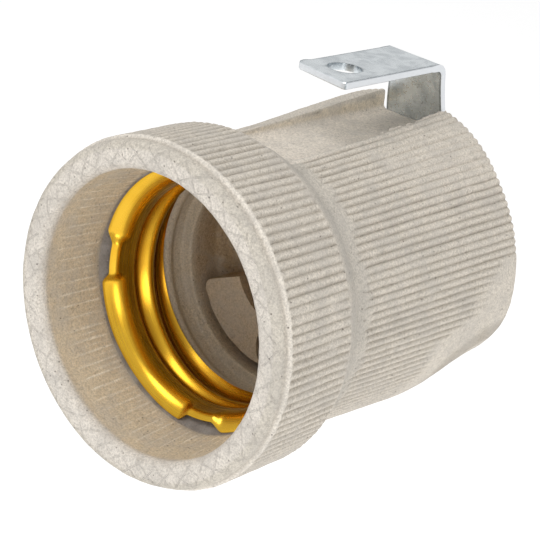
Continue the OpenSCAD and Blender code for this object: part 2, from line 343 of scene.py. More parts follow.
def outward(obj):
    """Turns the faces of a closed mesh outwards."""
    bm = bmesh.new()
    bm.from_mesh(obj.data)
    bmesh.ops.recalc_face_normals(bm, faces=bm.faces)
    if bm.calc_volume(signed=True) < 0:
        bmesh.ops.reverse_faces(bm, faces=bm.faces)
    bm.to_mesh(obj.data)
    bm.free()
    return obj


def ring_faces(first, second, columns):
    """Four-sided faces between two rings of columns vertices."""
    return [(first + j, second + j, second + (j + 1) % columns, first + (j + 1) % columns)
            for j in range(columns)]


def halving_faces(first, second, columns):
    """Joins a ring of columns vertices at first to a ring of half as many at second."""
    faces = []
    half = columns // 2
    for j in range(half):
        a, b, c = first + 2 * j, first + 2 * j + 1, first + (2 * j + 2) % columns
        d, e = second + j, second + (j + 1) % half
        faces += [(a, d, b), (b, d, e), (b, e, c)]
    return faces


FEWEST_FACES = 100


def combine(obj, tool, operation):
    """Boolean of obj with tool, which is then removed; EXACT is the spare solver."""
    for solver in ("MANIFOLD", "EXACT"):
        modifier = obj.modifiers.new("combine", "BOOLEAN")
        modifier.operation = operation
        modifier.object = tool
        modifier.solver = solver
        graph = bpy.context.evaluated_depsgraph_get()
        mesh = bpy.data.meshes.new_from_object(obj.evaluated_get(graph), depsgraph=graph)
        obj.modifiers.remove(modifier)
        if len(mesh.polygons) > FEWEST_FACES:
            break
    old = obj.data
    obj.data = mesh
    bpy.data.meshes.remove(old)
    bpy.data.objects.remove(tool)


def prism(name, outline, y0, y1, step, rough, rough_scale, flare=None):
    """Closed prism along Y over a closed (x, z) outline; its sides are roughened by noise."""
    rows = max(2, round((y1 - y0) / step) + 1)
    outline = np.array(outline, float)
    n = len(outline)
    points = []
    for y in np.linspace(y0, y1, rows):
        p = np.column_stack([outline[:, 0], np.full(n, y), outline[:, 1]])
        if flare:
            p = flare(p)
        uneven = np.stack([noise(p, rough_scale, 2, seed) for seed in (1, 2, 3)], -1)
        points.append(p + rough * uneven * [1, 0, 1])
    faces = []
    for k in range(rows - 1):
        faces += ring_faces(k * n, (k + 1) * n, n)
    faces += [tuple(range(n)), tuple(reversed(range((rows - 1) * n, rows * n)))]
    return outward(mesh_object(name, np.concatenate(points), faces))


def dense(corners, step):
    """A closed outline through the corners with points about step apart."""
    out = []
    for a, b in zip(corners, corners[1:] + corners[:1]):
        out += run(a[0], a[1], b[0], b[1], step)
    return out


# ---------------------------------------------------------------- thread shell surface
def crest_depth(theta):
    """Depth of the shell's second crest: a right-hand helix seen from the mouth."""
    return HELIX_Y - PITCH * angle_from(theta, HELIX_ANGLE) / 360


def shell_radius(y, theta):
    """Inner radius of the thread shell at depth y: flared front, ring crest, helical grooves."""
    phase = PI2 * (y - crest_depth(theta)) / PITCH
    wave = (0.5 - 0.5 * np.cos(phase)) ** 0.85
    started = smooth(FLARE_CREST_Y + 0.3, FLARE_CREST_Y + 1.9, y)
    thread = CREST_R + (ROOT_R - CREST_R) * wave * started
    lift = np.clip((FLARE_CREST_Y - y) / FLARE_R, 0, 0.998)
    curl = CREST_R + FLARE_R * (1 - np.sqrt(1 - lift * lift))
    return np.maximum(thread, curl)


def tab_press(y, theta):
    """How far the four tabs are pressed inwards at depth y."""
    press = 0
    for centre in TAB_ANGLES:
        away = np.abs(angle_from(theta, centre))
        press = press + 1 - smooth(TAB_HALF - 3.4, TAB_HALF + 2.6, away)
    near_lip = 1 - smooth(SHELL_FRONT_Y - 0.6, FLARE_CREST_Y - 0.1, y)
    return TAB_PRESS * press * near_lip ** 1.4


# ---------------------------------------------------------------- ceramic body
def outer_profile():
    """(radius, depth) of the outside, from the rim's inner edge to the rear face."""
    path = [(MOUTH_R + RIM_ROUND, 0.0), (16.3, 0.0), (16.75, 0.0), (17.1, 0.02)]
    path += arc(LIP_R - LIP_ROUND, LIP_ROUND, LIP_ROUND, -80, 0, 5)
    path += [(LIP_R, 1.1), (LIP_R + 0.03, 1.22), (LIP_R + 0.14, 1.36), (COLLAR_R - 0.08, 1.5),
             (COLLAR_R, 1.64), (COLLAR_R, 1.8), (COLLAR_R, 2.0), (COLLAR_R, 2.3)]
    path += run(COLLAR_R, 2.3, COLLAR_R, COLLAR_LEN - 0.3, 0.62)
    path += arc(COLLAR_R - 0.9, COLLAR_LEN, 0.9, 0, 55, 6)
    path += run(path[-1][0], path[-1][1], WAIST_R + 0.76, WAIST_Y - 1.84, 0.35)
    path += arc(WAIST_R + 2.6, WAIST_Y, 2.6, 222, 180, 5)
    slope = (REAR_R - WAIST_R) / (BODY_LEN - REAR_ROUND - WAIST_Y)
    path += run(WAIST_R, WAIST_Y, WAIST_R + slope * 3.4, WAIST_Y + 3.4, 0.34)
    path += run(path[-1][0], path[-1][1], REAR_R, BODY_LEN - REAR_ROUND, 0.76)
    path += arc(REAR_R - REAR_ROUND, BODY_LEN - REAR_ROUND, REAR_ROUND, 15, 90, 5)
    path += [(16.2, BODY_LEN), (14.8, BODY_LEN), (11, BODY_LEN), (5, BODY_LEN)]
    return path


def skirt_profile():
    """From the seat in front of the shell forwards to the rim's inner edge."""
    path = [(SKIRT_R - 0.18, SKIRT_Y + 0.28), (SKIRT_R - 0.05, SKIRT_Y + 0.1), (SKIRT_R, SKIRT_Y)]
    path += run(SKIRT_R, SKIRT_Y, MOUTH_R, RIM_ROUND + 0.4, 0.62)
    path += [(MOUTH_R, RIM_ROUND + 0.1)]
    path += arc(MOUTH_R + RIM_ROUND, RIM_ROUND, RIM_ROUND, 180, 262, 6)
    return path


def socket_profile():
    """From the floor's centre outwards, then forwards to the end of the shell."""
    path = [(r, FLOOR_Y) for r in (1.2, 3, 5, 7, 9, 10.6)]
    path += arc(SOCKET_R - SOCKET_ROUND, FLOOR_Y - SOCKET_ROUND, SOCKET_ROUND, 90, 0, 3)
    path += run(SOCKET_R, FLOOR_Y - SOCKET_ROUND, SOCKET_R, LEDGE_Y + 0.3, 0.9)
    path += arc(SOCKET_R + 0.3, LEDGE_Y + 0.3, 0.3, 180, 270, 4)
    path += [(12.75, LEDGE_Y), (13.05, LEDGE_Y - 0.02)]
    path += arc(13.05, LEDGE_Y - 0.37, 0.35, 90, 0, 3)
    path += [(13.45, 19.6), (13.5, 19.2), (13.42, 18.9), (13.25, 18.6), (13.1, 18.36),
             (RIDGE_R + 0.02, 18.14), (RIDGE_R, RIDGE_Y), (RIDGE_R + 0.05, 17.66),
             (13.2, 17.45), (13.42, 17.28), (13.6, 17.16)]
    return path


def rib_wave(theta):
    """1 on the top of a rib and 0 in the groove beside it."""
    return np.abs(np.sin(RIBS * theta / 2)) ** 0.95


def smooth_patch(y, theta):
    """1 where the low rear corner was left without ribs."""
    degrees = angle_from(theta, 0)
    reach = (5.2 * smooth(20, 3, degrees) + 7.5 * smooth(-1, -17, degrees)
             + 0.6 * noise(polar(17, y, theta), 2.2, 2, 5))
    reach = reach * smooth(-88, -60, degrees)
    edge = BODY_LEN - reach
    return smooth(edge - 1.4, edge + 1.2, y) * smooth(0.5, 2, reach)


def rear_bulge(y, theta):
    """The rear end is a little out of round: wider beside the channel."""
    return REAR_BULGE * smooth(34, 66, angle_from(theta, 0)) * smooth(22, 41, y)


def rear_cut(y, theta):
    """Depth to which the low rear corner was wiped away before firing."""
    degrees = angle_from(theta, 0)
    around = smooth(-8, -46, degrees) * smooth(-125, -88, degrees)
    return REAR_CUT * around * smooth(30.5, BODY_LEN + 1, y) ** 1.3


def outer_points(theta):
    """Grid of the outside with its ribs, wear and unevenness."""
    base_r, y, t, here = sweep(outer_profile(), theta)
    rib = (np.arange(len(theta)) // RIB_COLUMNS)[None, :]
    jitter = np.random.default_rng(5).random((4, RIBS)) * 2 - 1
    drift = 0.05 * noise(here, 3.1, 2, 1) / 17
    wave = rib_wave(theta)[None, :]
    depth = RIB_DEPTH * (1 + 0.16 * jitter[0][rib] + 0.22 * noise(here, 2.3, 2, 2))
    worn = smooth(0.25, 0.75, noise(here, 1.5, 2, 3)) * 0.5
    depth = depth * (1 - worn)
    start = COLLAR_RIB_START + 0.14 * jitter[1][rib]
    on_collar = smooth(start, start + 0.42, y) * (y < WAIST_FRONT_Y)
    collar_r = np.minimum(base_r, COLLAR_R - depth * (1 - wave) * on_collar)
    start = REAR_RIB_START + 0.6 * jitter[2][rib] + 0.7 * noise(here, 5, 1, 4)
    on_rear = smooth(start - 0.6, start + 0.8, y) * (1 - smooth_patch(y, t))
    rear_r = base_r - depth * (1 - wave) * on_rear - rear_cut(y, t) + rear_bulge(y, t)
    behind_waist = y > WAIST_FRONT_Y
    on_side = (base_r > 15.8) & (y > 1)
    r = np.where(behind_waist, rear_r, collar_r)
    r = np.where(on_side, r, base_r)
    chips = np.exp(-((y - WAIST_Y + 0.4) / 1.6) ** 2)
    uneven = (0.035 * noise(here, 4.5, 2, 6) + 0.035 * noise(here, 0.8, 2, 7)
              + 0.10 * chips * noise(here, 1.1, 3, 10))
    r = r + np.where(base_r < 15, 0, uneven - 0.04)
    face = smooth(BODY_LEN - 0.4, BODY_LEN, y)
    y = y - face * (REAR_FACE_HOLLOW + 0.05 * noise(here, 1.1, 2, 8))
    rim = 1 - smooth(0.1, 0.7, y)
    y = y + rim * (0.05 + 0.04 * noise(here, 2.4, 3, 9))
    offset = np.where(behind_waist, REAR_RIB_OFFSET * PI2 / RIBS, 0)
    shift = offset * smooth(WAIST_FRONT_Y, WAIST_Y + 1, y)
    return polar(r, y, t + drift + shift)


def skirt_points(theta):
    """Grid of the skirt with its fine ridges, hollowed a little beside each tab."""
    r, y, t, here = sweep(skirt_profile(), theta)
    across = SKIRT_RIDGES * t / PI2 + 0.12 * noise(here, 2.6, 2, 11)
    second = np.floor(across) % 2
    line = np.exp(-((across % 1 - 0.5) / 0.2) ** 2)
    strength = 0.8 + 0.45 * noise(here, 1.3, 3, 12) - 0.35 * second
    start = 2.2 + 2 * second + 0.6 * noise(here, 1.3, 1, 13)
    reach = smooth(start, start + 0.8, y) * smooth(SKIRT_Y + 0.1, SKIRT_Y - 0.2, y)
    r = r - SKIRT_RIDGE_H * line * strength * reach
    r = r + 0.04 * noise(here, 3.3, 2, 14) + 0.035 * noise(here, 0.7, 2, 15)
    gap = np.zeros_like(r)
    for centre in TAB_ANGLES:
        gap = gap + np.exp(-(angle_from(t, centre) / 12) ** 2)
    r = r + 0.16 * gap * smooth(7.5, SKIRT_Y, y)
    return polar(r, y, t)


def seat_points(theta):
    """The ceramic behind the shell follows the shell's outside."""
    y = np.linspace(SHELL_END_Y + 0.08, SEAT_FRONT_Y, 21)[:, None] + 0 * theta
    t = theta + 0 * y
    r = shell_radius(y, t) + SHEET_T + SHELL_GAP + 0.14 * smooth(10.5, 9, y)
    r = np.minimum(r, SKIRT_R - 0.2)
    return polar(r, y, t)


def socket_points(theta):
    """Grid of the socket behind the shell, a little uneven."""
    r, y, t, here = sweep(socket_profile(), theta)
    uneven = 0.05 * noise(here, 3.7, 2, 21) + 0.03 * noise(here, 0.9, 2, 22)
    on_floor = (y > FLOOR_Y - 0.2) & (r < 11)
    r = r + np.where(on_floor, 0, uneven)
    y = y + np.where(on_floor, 0.12 * noise(here, 3.1, 3, 23), 0.4 * uneven)
    return polar(r, y, t)


def body_surface():
    """Closed surface from the floor's centre, out of the mouth and round to the rear face."""
    columns = RIBS * RIB_COLUMNS
    fine = np.arange(columns) * PI2 / columns
    coarse = fine[::2]
    coarse_rows = [*socket_points(coarse), *seat_points(coarse)]
    fine_rows = [*skirt_points(fine), *outer_points(fine)]
    half = columns // 2
    points = [np.array([[0, FLOOR_Y, 0]])] + coarse_rows + fine_rows
    points.append(np.array([[0, BODY_LEN - REAR_FACE_HOLLOW, 0]]))
    faces = [(0, 1 + j, 1 + (j + 1) % half) for j in range(half)]
    at = 1
    for _ in coarse_rows[1:]:
        faces += ring_faces(at, at + half, half)
        at += half
    faces += halving_faces(at + half, at, columns)
    at += half
    for _ in fine_rows[1:]:
        faces += ring_faces(at, at + columns, columns)
        at += columns
    last = at + columns
    faces += [(at + j, at + (j + 1) % columns, last) for j in range(columns)]
    return outward(mesh_object("ceramic_body", np.concatenate(points), faces))


def channel_flare(p):
    """The channel's ribbed side is chipped along its top edge, and its front end ramps up."""
    x, y, z = p[:, 0], p[:, 1], p[:, 2]
    near = smooth(2.5, 4, x) * smooth(15.4, 16.3, z)
    chip = 0.40 * noise(p, 0.8, 2, 31) + 0.05
    slide = 0.9 * np.exp(-((y - 27.5) / 1.2) ** 2) * smooth(3.6, 4.2, x)
    far = smooth(-3.2, -4.2, x) * smooth(16, 17.4, z)
    ramp = 0.75 * smooth(CHANNEL_Y + 2.2, CHANNEL_Y, y) * smooth(15.8, 15.2, z)
    return np.column_stack([x + near * chip + slide * 0.35 - far * 0.12, y, z + ramp])


def channel_tool():
    """What is cut away to leave the channel, with its floor's corners rounded."""
    half, low, high = CHANNEL_HALF, CHANNEL_Z, CHANNEL_TOP
    far, near = CHANNEL_ROUND_FAR, CHANNEL_ROUND_NEAR
    corners = ([(-half, high)] + arc(-half + far, low + far, far, 180, 270, 5)
               + arc(half - near, low + near, near, 270, 360, 4) + [(half, high)])
    return prism("channel_tool", dense(corners, 0.45), CHANNEL_Y, BODY_LEN + 2, 0.45,
                 rough=0.06, rough_scale=1.3, flare=channel_flare)


def chamber_tool():
    """What is cut away to leave the wire chamber: a round below, a flat top, a boss in it."""
    boss, boss_z, top, turn = BOSS_HALF, BOSS_Z, CHAMBER_TOP, CHAMBER_ROUND
    side = math.sqrt(CHAMBER_R ** 2 - top ** 2)
    a0 = math.degrees(math.atan2(top, side))
    outline = arc(0, 0, CHAMBER_R, a0, -180 - a0, 90)
    outline += arc(-side + 1.6, top - turn, turn, 110, 90, 2)
    outline += arc(-boss - turn, top - turn, turn, 90, 0, 4)
    outline += arc(-boss + turn, boss_z + turn, turn, 180, 270, 4)
    outline += arc(boss - turn, boss_z + turn, turn, 270, 360, 4)
    outline += arc(boss + turn, top - turn, turn, 180, 90, 4)
    return prism("chamber_tool", outline, WEB_Y, BODY_LEN + 2, 0.8, rough=0.07, rough_scale=1.6)


def bore_tool(place, r, y0, y1):
    """Round bore along Y at an (x, z) place."""
    t = np.linspace(0, PI2, 64, endpoint=False)
    outline = np.column_stack([place[0] + r * np.cos(t), place[1] + r * np.sin(t)])
    return prism("bore_tool", outline, y0, y1, 0.9, rough=0.03, rough_scale=1)


def slot_tool():
    """Slot behind the shell for its contact strip, turned to the strip's angle."""
    angle = math.atan2(NEUTRAL_BORE[1], NEUTRAL_BORE[0])
    along = np.array([math.cos(angle), math.sin(angle)])
    across = np.array([-along[1], along[0]])
    near, far = SLOT_R
    corners = [tuple(along * r + across * s) for r, s in
               ((near, -SLOT_HALF), (far, -SLOT_HALF), (far, SLOT_HALF), (near, SLOT_HALF))]
    return prism("slot_tool", dense(corners, 0.7), *SLOT_Y, 0.9, rough=0.05, rough_scale=1.2)


def pad_solid():
    """Raised sector of the floor below the axis."""
    end_x, end_z = PAD_END
    outline = arc(0, 0, PAD_OUTER_R, 207, 333, 40) + arc(end_x, end_z, PAD_END_R, -20, 60, 3)
    outline += arc(0, 0, PAD_INNER_R, 339, 201, 26) + arc(-end_x, end_z, PAD_END_R, 120, 200, 3)
    return prism("pad_solid", outline, PAD_Y, FLOOR_Y + 1, 0.8, rough=0.12, rough_scale=1.8)


def make_ceramic():
    """The turned body with its pad, recess, slot, wire chamber, channel and bores."""
    body = body_surface()
    combine(body, pad_solid(), "UNION")
    for tool in (bore_tool(NEUTRAL_BORE, RECESS_R, PAD_Y - 1, RECESS_END_Y),
                 slot_tool(),
                 chamber_tool(),
                 channel_tool(),
                 bore_tool(BRACKET_BORE, BRACKET_BORE_R, BORE_FRONT_Y, BODY_LEN + 1),
                 bore_tool(LINE_BORE, CONTACT_BORE_R, BORE_FRONT_Y, WEB_Y + 1),
                 bore_tool(NEUTRAL_BORE, CONTACT_BORE_R, RECESS_BORE_FRONT_Y, WEB_Y + 1)):
        combine(body, tool, "DIFFERENCE")
    shade(body, 50)
    return body


# ---------------------------------------------------------------- thread shell
def make_shell():
    """The pressed sheet with its flared lip, thread, four tabs and one shallow dent."""
    theta = np.arange(SHELL_COLUMNS) * PI2 / SHELL_COLUMNS
    flare = FLARE_CREST_Y - FLARE_R * np.sin(np.radians(np.linspace(FLARE_END, 6, 20)))
    y = np.concatenate([flare, np.linspace(FLARE_CREST_Y, SHELL_END_Y, 40)])[:, None] + 0 * theta
    t = theta + 0 * y
    dent = DENT_DEPTH * np.exp(-(angle_from(t, DENT_ANGLE) / 22) ** 2) * (1 - smooth(8.4, 10.5, y))
    r = shell_radius(y, t) - tab_press(y, t) - dent
    dr, dy = np.gradient(r, axis=0), np.gradient(y, axis=0)
    length = np.hypot(dr, dy)
    out_r, out_y = r + SHEET_T * dy / length, y - SHEET_T * dr / length
    out_y = np.maximum(out_y, SHELL_FRONT_Y - 0.25)
    inner = [polar(r[k], y[k], theta) for k in range(len(r))]
    outer = [polar(out_r[k], out_y[k], theta) for k in range(len(r))]

    def lip(k, away):
        """Ring that rounds the sheet's edge at row k."""
        middle_r, middle_y = (r[k] + out_r[k]) / 2, (y[k] + out_y[k]) / 2
        return polar(middle_r + away * 0.06 * dr[k] / length[k],
                     middle_y + away * 0.06 * dy[k] / length[k], theta)

    rows = [lip(0, -1)] + inner + [lip(-1, 1)] + outer[::-1]
    faces = []
    for k in range(len(rows)):
        following = (k + 1) % len(rows)
        faces += ring_faces(k * SHELL_COLUMNS, following * SHELL_COLUMNS, SHELL_COLUMNS)
    shell = outward(mesh_object("thread_shell", np.concatenate(rows), faces))
    shade(shell, 60)
    return shell


# ---------------------------------------------------------------- angle bracket
def bracket_side():
    """Side outline (depth, height): upper face, outside of the bend, leg, foot and back."""
    outer_r = 2 * STRIP_T
    bend_z = PLATE_Z - outer_r
    across_y = STRIP_T * math.cos(math.radians(LEAN))
    across_z = STRIP_T * math.sin(math.radians(LEAN))
    rise = bend_z + across_z - KNEE_Z
    bend_y = BODY_LEN - across_y - rise * math.tan(math.radians(LEAN))
    back_y = BODY_LEN + STRIP_T
    low_z = PLATE_Z - STRIP_T
    top = [(FREE_Y + STRIP_EDGE, PLATE_Z)]
    top += run(FREE_Y + STRIP_EDGE, PLATE_Z, bend_y, PLATE_Z, 0.6)
    top += arc(bend_y, bend_z, outer_r, 84, LEAN, 10)
    top += run(top[-1][0], top[-1][1], back_y, KNEE_Z, 0.8)
    top += run(back_y, KNEE_Z, back_y, BOLT_Z, 0.8)
    low = [(BODY_LEN, BOLT_Z)] + run(BODY_LEN, BOLT_Z, BODY_LEN, KNEE_Z, 0.8)
    low += run(BODY_LEN, KNEE_Z, bend_y + across_y, bend_z + across_z, 0.8)
    low += arc(bend_y, bend_z, STRIP_T, LEAN + 7.8, 90, 10)
    low += run(bend_y, low_z, FREE_Y + STRIP_EDGE, low_z, 0.6)
    return top + low + [(FREE_Y, low_z + STRIP_EDGE), (FREE_Y, PLATE_Z - STRIP_EDGE)]


def make_bracket():
    """The strip with its skewed bend and free end, rounded corners, dimple and burr."""
    side = np.array(bracket_side())
    edge = STRIP_HALF - 0.1
    columns = np.linspace(-edge, edge, STRIP_COLUMNS)
    columns = np.concatenate([[-STRIP_HALF], columns, [STRIP_HALF]])
    points = []
    for x in columns:
        y, z = side[:, 0].copy(), side[:, 1].copy()
        inset = STRIP_THINNING if abs(x) == STRIP_HALF else 0
        along = smooth(BEND_FRONT_Y, FREE_Y, y)
        skew = BEND_SKEW * smooth(KNEE_Z + 0.5, PLATE_Z - 2, z) + (FREE_SKEW - BEND_SKEW) * along
        over = max(0, abs(x) - STRIP_HALF + STRIP_CORNER)
        corner = STRIP_CORNER - math.sqrt(STRIP_CORNER ** 2 - over * over)
        at_end = smooth(FREE_Y + 1.2, FREE_Y, y)
        y = y - skew * x / (2 * STRIP_HALF) + corner * at_end
        reach = math.sqrt(max(0, STRIP_HALF ** 2 - x * x))
        z = np.where(z < BOLT_Z + 0.01, BOLT_Z - reach, z)
        dimple = 0.14 * np.exp(-((y - DIMPLE_Y) ** 2 + x * x) / 0.8)
        burr = 0.16 * math.exp(-((x + STRIP_HALF) / 0.4) ** 2) * np.exp(-((y - BURR_Y) / 0.8) ** 2)
        z = z + (burr - dimple) * (z > PLATE_Z - 0.2)
        middle_z = PLATE_Z - STRIP_T / 2
        thinned = middle_z + (z - middle_z) * (1 - inset / STRIP_T * 2)
        z = np.where(y < BEND_FRONT_Y, thinned, z)
        points.append(np.column_stack([np.full(len(y), x), y, z]))
    n = len(side)
    faces = []
    for k in range(len(columns) - 1):
        faces += ring_faces(k * n, (k + 1) * n, n)
    faces += [tuple(range(n)), tuple(range((len(columns) - 1) * n, len(columns) * n))]
    strip = outward(mesh_object("angle_bracket", np.concatenate(points), faces))
    bolt_bore = bore_tool((0, BOLT_Z), BOLT_R, BODY_LEN - 1, BODY_LEN + 2)
    combine(strip, bolt_bore, "DIFFERENCE")
    hole = bore_tool((0, 0), HOLE_R, -2, 2)
    hole.data.transform(Matrix.Rotation(math.pi / 2, 4, "X") @ Matrix.Translation(-AXIS))
    combine(strip, hole, "DIFFERENCE")
    shade(strip, 35)
    p = lamp_points(strip.data)
    at_end = p[:, 1] < FREE_Y - FREE_SKEW * p[:, 0] / (2 * STRIP_HALF) + 0.06
    cut = (np.abs(p[:, 0]) > STRIP_HALF - 0.02) | at_end
    # Cut edges, painted bright as a highlight in the strip's material
    mark(strip.data, "cut", cut)
    # The strip's long edges and the hole's lip, painted with a dark shade line
    from_hole = np.hypot(p[:, 0], p[:, 1] - HOLE_Y)
    lip = (from_hole < HOLE_R + 0.08) & (p[:, 2] > PLATE_Z - 0.15)
    mark(strip.data, "line", (np.abs(p[:, 0]) > edge - 0.02) & ~cut | lip)
    return strip


# ---------------------------------------------------------------- materials
class Nodes:
    """Short way to build a node material."""

    def __init__(self, name):
        self.material = bpy.data.materials.new(name)
        self.material.use_nodes = True
        self.tree = self.material.node_tree
        self.shader = self.tree.nodes["Principled BSDF"]
        self.place = self.add("ShaderNodeTexCoord").outputs["Object"]

    def add(self, kind, inputs=None, **settings):
        """New node; an input may be a number, a colour or another node's output."""
        node = self.tree.nodes.new(kind)
        for key, value in settings.items():
            setattr(node, key, value)
        for key, value in (inputs or {}).items():
            self.set(node.inputs[key], value)
        return node

    def set(self, socket, value):
        if isinstance(value, bpy.types.NodeSocket):
            self.tree.links.new(value, socket)
        else:
            socket.default_value = value

    def noise(self, size, detail=4, roughness=0.55, distortion=0, place=None):
        """Noise whose features are about size mm."""
        return self.add("ShaderNodeTexNoise", {
            "Vector": place or self.place, "Scale": 1 / (size * MM), "Detail": detail,
            "Roughness": roughness, "Distortion": distortion}).outputs["Fac"]

    def cells(self, size):
        """Round cells about size mm apart."""
        return self.add("ShaderNodeTexVoronoi", {
            "Vector": self.place, "Scale": 1 / (size * MM)})

    def ramp(self, value, lo, hi, to_lo=0.0, to_hi=1.0):
        """Smooth step from to_lo to to_hi as value goes from lo to hi."""
        return self.add("ShaderNodeMapRange", {
            "Value": value, "From Min": lo, "From Max": hi, "To Min": to_lo, "To Max": to_hi},
            interpolation_type="SMOOTHSTEP").outputs["Result"]

    def math(self, operation, a, b=0.0):
        return self.add("ShaderNodeMath", {0: a, 1: b}, operation=operation).outputs[0]

    def mix(self, factor, a, b, blend="MIX"):
        node = self.add("ShaderNodeMix", data_type="RGBA", blend_type=blend)
        for index, value in ((0, factor), (6, a), (7, b)):
            self.set(node.inputs[index], value)
        return node.outputs[2]

    def attribute(self, name):
        return self.add("ShaderNodeAttribute", attribute_name=name).outputs["Fac"]

    def from_axis(self):
        """X, depth, height above the lamp axis and distance from it, in metres."""
        split = self.add("ShaderNodeSeparateXYZ", {"Vector": self.place})
        x, depth = split.outputs["X"], split.outputs["Y"]
        z = self.math("SUBTRACT", split.outputs["Z"], AXIS.z)
        squares = self.math("ADD", self.math("MULTIPLY", x, x), self.math("MULTIPLY", z, z))
        return x, depth, z, self.math("SQRT", squares)

    def bump(self, height, distance, normal=None):
        """Bump distance mm high, on top of another normal if one is given."""
        inputs = {"Height": height, "Distance": distance * MM, "Strength": 1.0}
        if normal is not None:
            inputs["Normal"] = normal
        return self.add("ShaderNodeBump", inputs).outputs["Normal"]


def linear(r, g, b):
    """Linear colour from sRGB 0-255."""
    out = [((c / 255 + 0.055) / 1.055) ** 2.4 if c > 10 else c / 3294.6 for c in (r, g, b)]
    return (*out, 1.0)


HATCH_TURNS = 21
HATCH_PER_METRE = 1500


def hatching(m):
    """Two families of crossing scratches round the rim, worked out from angle and radius."""
    x, _, z, radius = m.from_axis()
    around = m.math("MULTIPLY", m.math("ARCTAN2", z, x), HATCH_TURNS)
    across = m.math("MULTIPLY", radius, HATCH_PER_METRE)
    waver = m.math("MULTIPLY", m.noise(3.2, 2), 1.2)
    lines = []
    for operation in ("ADD", "SUBTRACT"):
        phase = m.math("ADD", m.math(operation, around, across), waver)
        lines.append(m.ramp(m.math("ABSOLUTE", m.math("SINE", phase)), 0.30, 0.05))
    broken = m.ramp(m.noise(0.9, 2), 0.36, 0.50)
    return m.math("MULTIPLY", m.math("MAXIMUM", lines[0], lines[1]), broken)


def ceramic_material():
    """Rough fired clay: grain, blotches, pale crystals, dark specks and the scratched rim."""
    m = Nodes("unglazed_ceramic")
    # Vertex colours: the clay's zones with their painted highlights and painted shade
    zone_colour_and_shade = m.add("ShaderNodeVertexColor", layer_name="clay").outputs["Color"]
    grain = m.noise(0.22, 5, 0.7)
    blotch = m.noise(2.6, 3, 0.5)
    fleck = m.noise(0.45, 3, 0.6)
    colour = m.mix(m.ramp(grain, 0.36, 0.64), (0.80, 0.795, 0.79, 1), (1.15, 1.145, 1.14, 1))
    colour = m.mix(m.ramp(fleck, 0.42, 0.30, 0, 0.5), colour, (0.58, 0.56, 0.53, 1), "MULTIPLY")
    colour = m.mix(1.0, zone_colour_and_shade, colour, "MULTIPLY")
    colour = m.mix(m.ramp(blotch, 0.4, 0.68, 0, 0.35), colour, (0.46, 0.43, 0.39, 1))
    crystals = m.cells(0.34)
    pale = m.math("MULTIPLY", m.ramp(crystals.outputs["Distance"], 0.20, 0.10),
                  m.ramp(m.noise(0.9, 2), 0.54, 0.62))
    colour = m.mix(m.math("MULTIPLY", pale, 0.55), colour, (0.92, 0.89, 0.84, 1))
    specks = m.cells(0.62)
    pick = m.ramp(specks.outputs["Color"], 0.70, 0.76)
    dark = m.math("MULTIPLY", m.ramp(specks.outputs["Distance"], 0.17, 0.09), pick)
    colour = m.mix(m.math("MULTIPLY", dark, 0.6), colour, (0.12, 0.09, 0.07, 1))
    m.set(m.shader.inputs["Roughness"], m.ramp(grain, 0.3, 0.7, 0.72, 0.92))
    m.shader.inputs["Specular IOR Level"].default_value = 0.35
    hatch = m.math("MULTIPLY", hatching(m), m.attribute("rim"))
    colour = m.mix(m.math("MULTIPLY", hatch, 0.3), colour, (0.40, 0.37, 0.33, 1))
    m.set(m.shader.inputs["Base Color"], colour)
    normal = m.bump(m.noise(0.9, 3), 0.16)
    normal = m.bump(grain, 0.11, normal)
    normal = m.bump(m.math("SUBTRACT", pale, dark), 0.12, normal)
    normal = m.bump(hatch, -0.07, normal)
    m.set(m.shader.inputs["Normal"], normal)
    return m.material


def metal_material(name, colour, dark, roughness, grain, scratch, bump):
    """Plated or polished metal with fine grain, drawn scratches and uneven roughness."""
    m = Nodes(name)
    stretched = m.add("ShaderNodeMapping", {"Vector": m.place, "Scale": (1, 1, scratch)})
    fine = m.noise(grain, 4, 0.6)
    lines = m.noise(grain * 2, 3, 0.5, place=stretched.outputs["Vector"])
    cloud = m.noise(2.4, 3, 0.6, 0.4)
    mixed = m.mix(m.ramp(cloud, 0.35, 0.7, 0, 0.5), colour, dark)
    m.set(m.shader.inputs["Base Color"], m.mix(m.ramp(fine, 0.55, 0.75, 0, 0.25), mixed, dark))
    m.shader.inputs["Metallic"].default_value = 1.0
    m.set(m.shader.inputs["Roughness"], m.ramp(lines, 0.3, 0.7, roughness * 0.8, roughness * 1.25))
    m.set(m.shader.inputs["Normal"], m.bump(lines, bump, m.bump(fine, bump)))
    return m.material


def strip_material():
    """Zinc-plated strip: cloudy plating, rougher cut edges with a painted highlight, and a painted
    shade line beside them.
    """
    m = Nodes("zinc_steel")
    cloud = m.noise(2.2, 4, 0.6, 0.6)
    spots = m.noise(0.5, 3, 0.6)
    colour = m.mix(m.ramp(cloud, 0.36, 0.66), linear(236, 242, 245), linear(206, 213, 217))
    colour = m.mix(m.ramp(spots, 0.62, 0.72, 0, 0.4), colour, linear(176, 180, 182))
    cut, line = m.attribute("cut"), m.attribute("line")
    nicks = m.noise(0.35, 3, 0.6)
    broken = m.math("MULTIPLY", line, m.ramp(nicks, 0.3, 0.55, 0.25, 0.85))
    # Painted shade: a dark line beside the strip's edges and round the hole's lip
    colour = m.mix(broken, colour, linear(104, 114, 122))
    # Rougher cut edges, painted bright as a highlight
    colour = m.mix(cut, colour, linear(228, 231, 234))
    m.set(m.shader.inputs["Base Color"], colour)
    m.shader.inputs["Metallic"].default_value = 1.0
    rough = m.ramp(spots, 0.3, 0.7, 0.24, 0.36)
    m.set(m.shader.inputs["Roughness"], m.math("ADD", rough, m.math("MULTIPLY", cut, 0.2)))
    normal = m.bump(cloud, 0.01)
    m.set(m.shader.inputs["Normal"], m.bump(m.math("MULTIPLY", nicks, cut), 0.03, normal))
    return m.material


